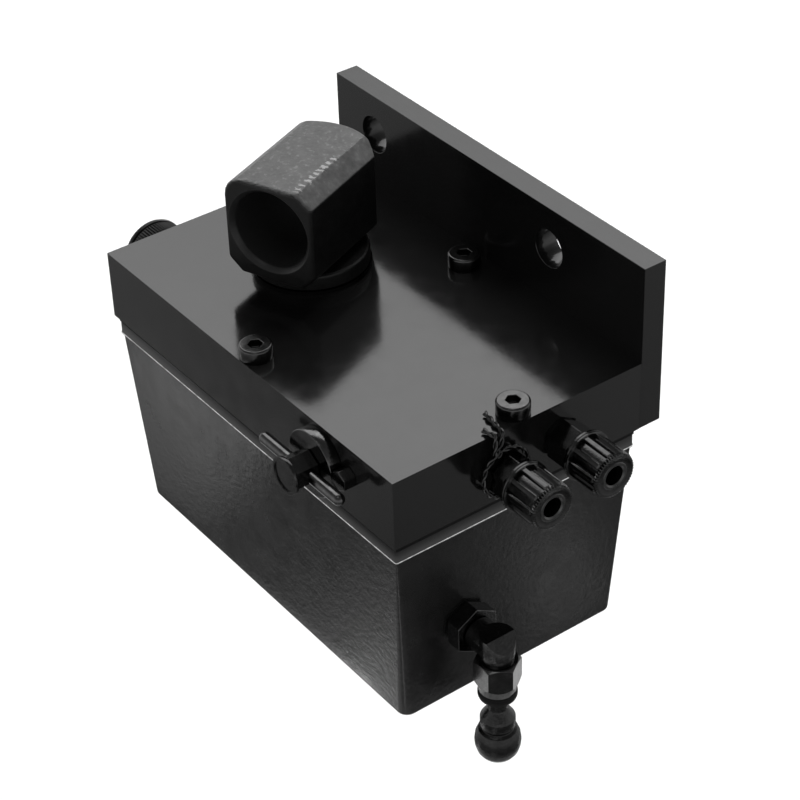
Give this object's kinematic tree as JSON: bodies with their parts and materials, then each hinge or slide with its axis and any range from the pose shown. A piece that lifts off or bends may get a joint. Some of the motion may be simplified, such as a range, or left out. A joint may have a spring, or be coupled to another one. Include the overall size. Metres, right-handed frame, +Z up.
{
  "type": "hydraulic reservoir",
  "caption": "Wall-mounted hydraulic reservoir: drafted black tank under a thick ported lid with filler elbow, tube couplings, vent valve, outlet elbow and an upright mounting plate.",
  "frame": {"origin": "midway between the two holes of the mounting plate, on the plate's rear face", "axes": "+X along the plate to the right, +Y out of the rear face into the wall, +Z up"},
  "size_m": [0.1835, 0.111, 0.1455],
  "materials": {
    "lid_paint": "gloss black paint",
    "tank_paint": "semi-gloss, lightly textured black paint",
    "cast_black": "matt black, worn grey on top",
    "dark_steel": "blackened steel",
    "nut_steel": "blackened steel, worn at the edges",
    "bright_steel": "plain steel",
    "wire_steel": "dark twisted wire",
    "cap_black": "knurled black",
    "brass": "plain brass",
    "seal_rubber": "black rubber"
  },
  "bodies": {
    "reservoir": {"lid": "lid_paint", "mounting_plate": "lid_paint", "plate_screws": "dark_steel", "gasket": "seal_rubber", "tank": "tank_paint", "lid_screws": "dark_steel", "filler_elbow": "cast_black", "elbow_washer": "dark_steel", "tube_body_1": "dark_steel", "tube_body_2": "dark_steel", "tube_ferrule_1": "brass", "tube_ferrule_2": "brass", "tube_seal_1": "seal_rubber", "tube_seal_2": "seal_rubber", "return_tube_1": "bright_steel", "return_tube_2": "bright_steel", "side_port": "dark_steel", "vent_flange": "dark_steel", "vent_seal": "seal_rubber", "flange_lock_screw": "dark_steel", "lock_wire": "wire_steel", "outlet_adapter": "dark_steel", "outlet_washer": "seal_rubber", "outlet_locknut": "dark_steel", "suction_strainer": "bright_steel"},
    "vent_valve": {"vent_spindle": "nut_steel", "vent_handle": "dark_steel"},
    "union_nut_1": {"tube_nut_1": "nut_steel"},
    "union_nut_2": {"tube_nut_2": "nut_steel"},
    "knurled_cap": {"side_cap": "cap_black", "side_seal": "seal_rubber"},
    "swivel_elbow": {"outlet_elbow": "dark_steel"},
    "plug_nipple": {"outlet_swivel": "nut_steel", "outlet_collar": "seal_rubber", "outlet_plug": "nut_steel"}
  },
  "joints": [
    {"name": "vent_turn", "type": "hinge", "parent": "reservoir", "child": "vent_valve", "pos_m": [0.05205, -0.1051, -0.0302], "axis": [0, -1, 0], "range_deg": [0, 90]},
    {"name": "nut_1_spin", "type": "hinge", "parent": "reservoir", "child": "union_nut_1", "pos_m": [0.10325, -0.0605, -0.031], "axis": [1, 0, 0], "continuous": true},
    {"name": "nut_2_spin", "type": "hinge", "parent": "reservoir", "child": "union_nut_2", "pos_m": [0.10325, -0.038, -0.0309], "axis": [1, 0, 0], "continuous": true},
    {"name": "cap_spin", "type": "hinge", "parent": "reservoir", "child": "knurled_cap", "pos_m": [-0.06975, -0.0761, -0.0305], "axis": [-1, 0, 0], "continuous": true},
    {"name": "elbow_swivel", "type": "hinge", "parent": "reservoir", "child": "swivel_elbow", "pos_m": [0.09325, -0.0717, -0.0842], "axis": [1, 0, 0], "continuous": true},
    {"name": "plug_spin", "type": "hinge", "parent": "swivel_elbow", "child": "plug_nipple", "pos_m": [0.09865, -0.0717, -0.0985], "axis": [0, 0, -1], "continuous": true}
  ]
}
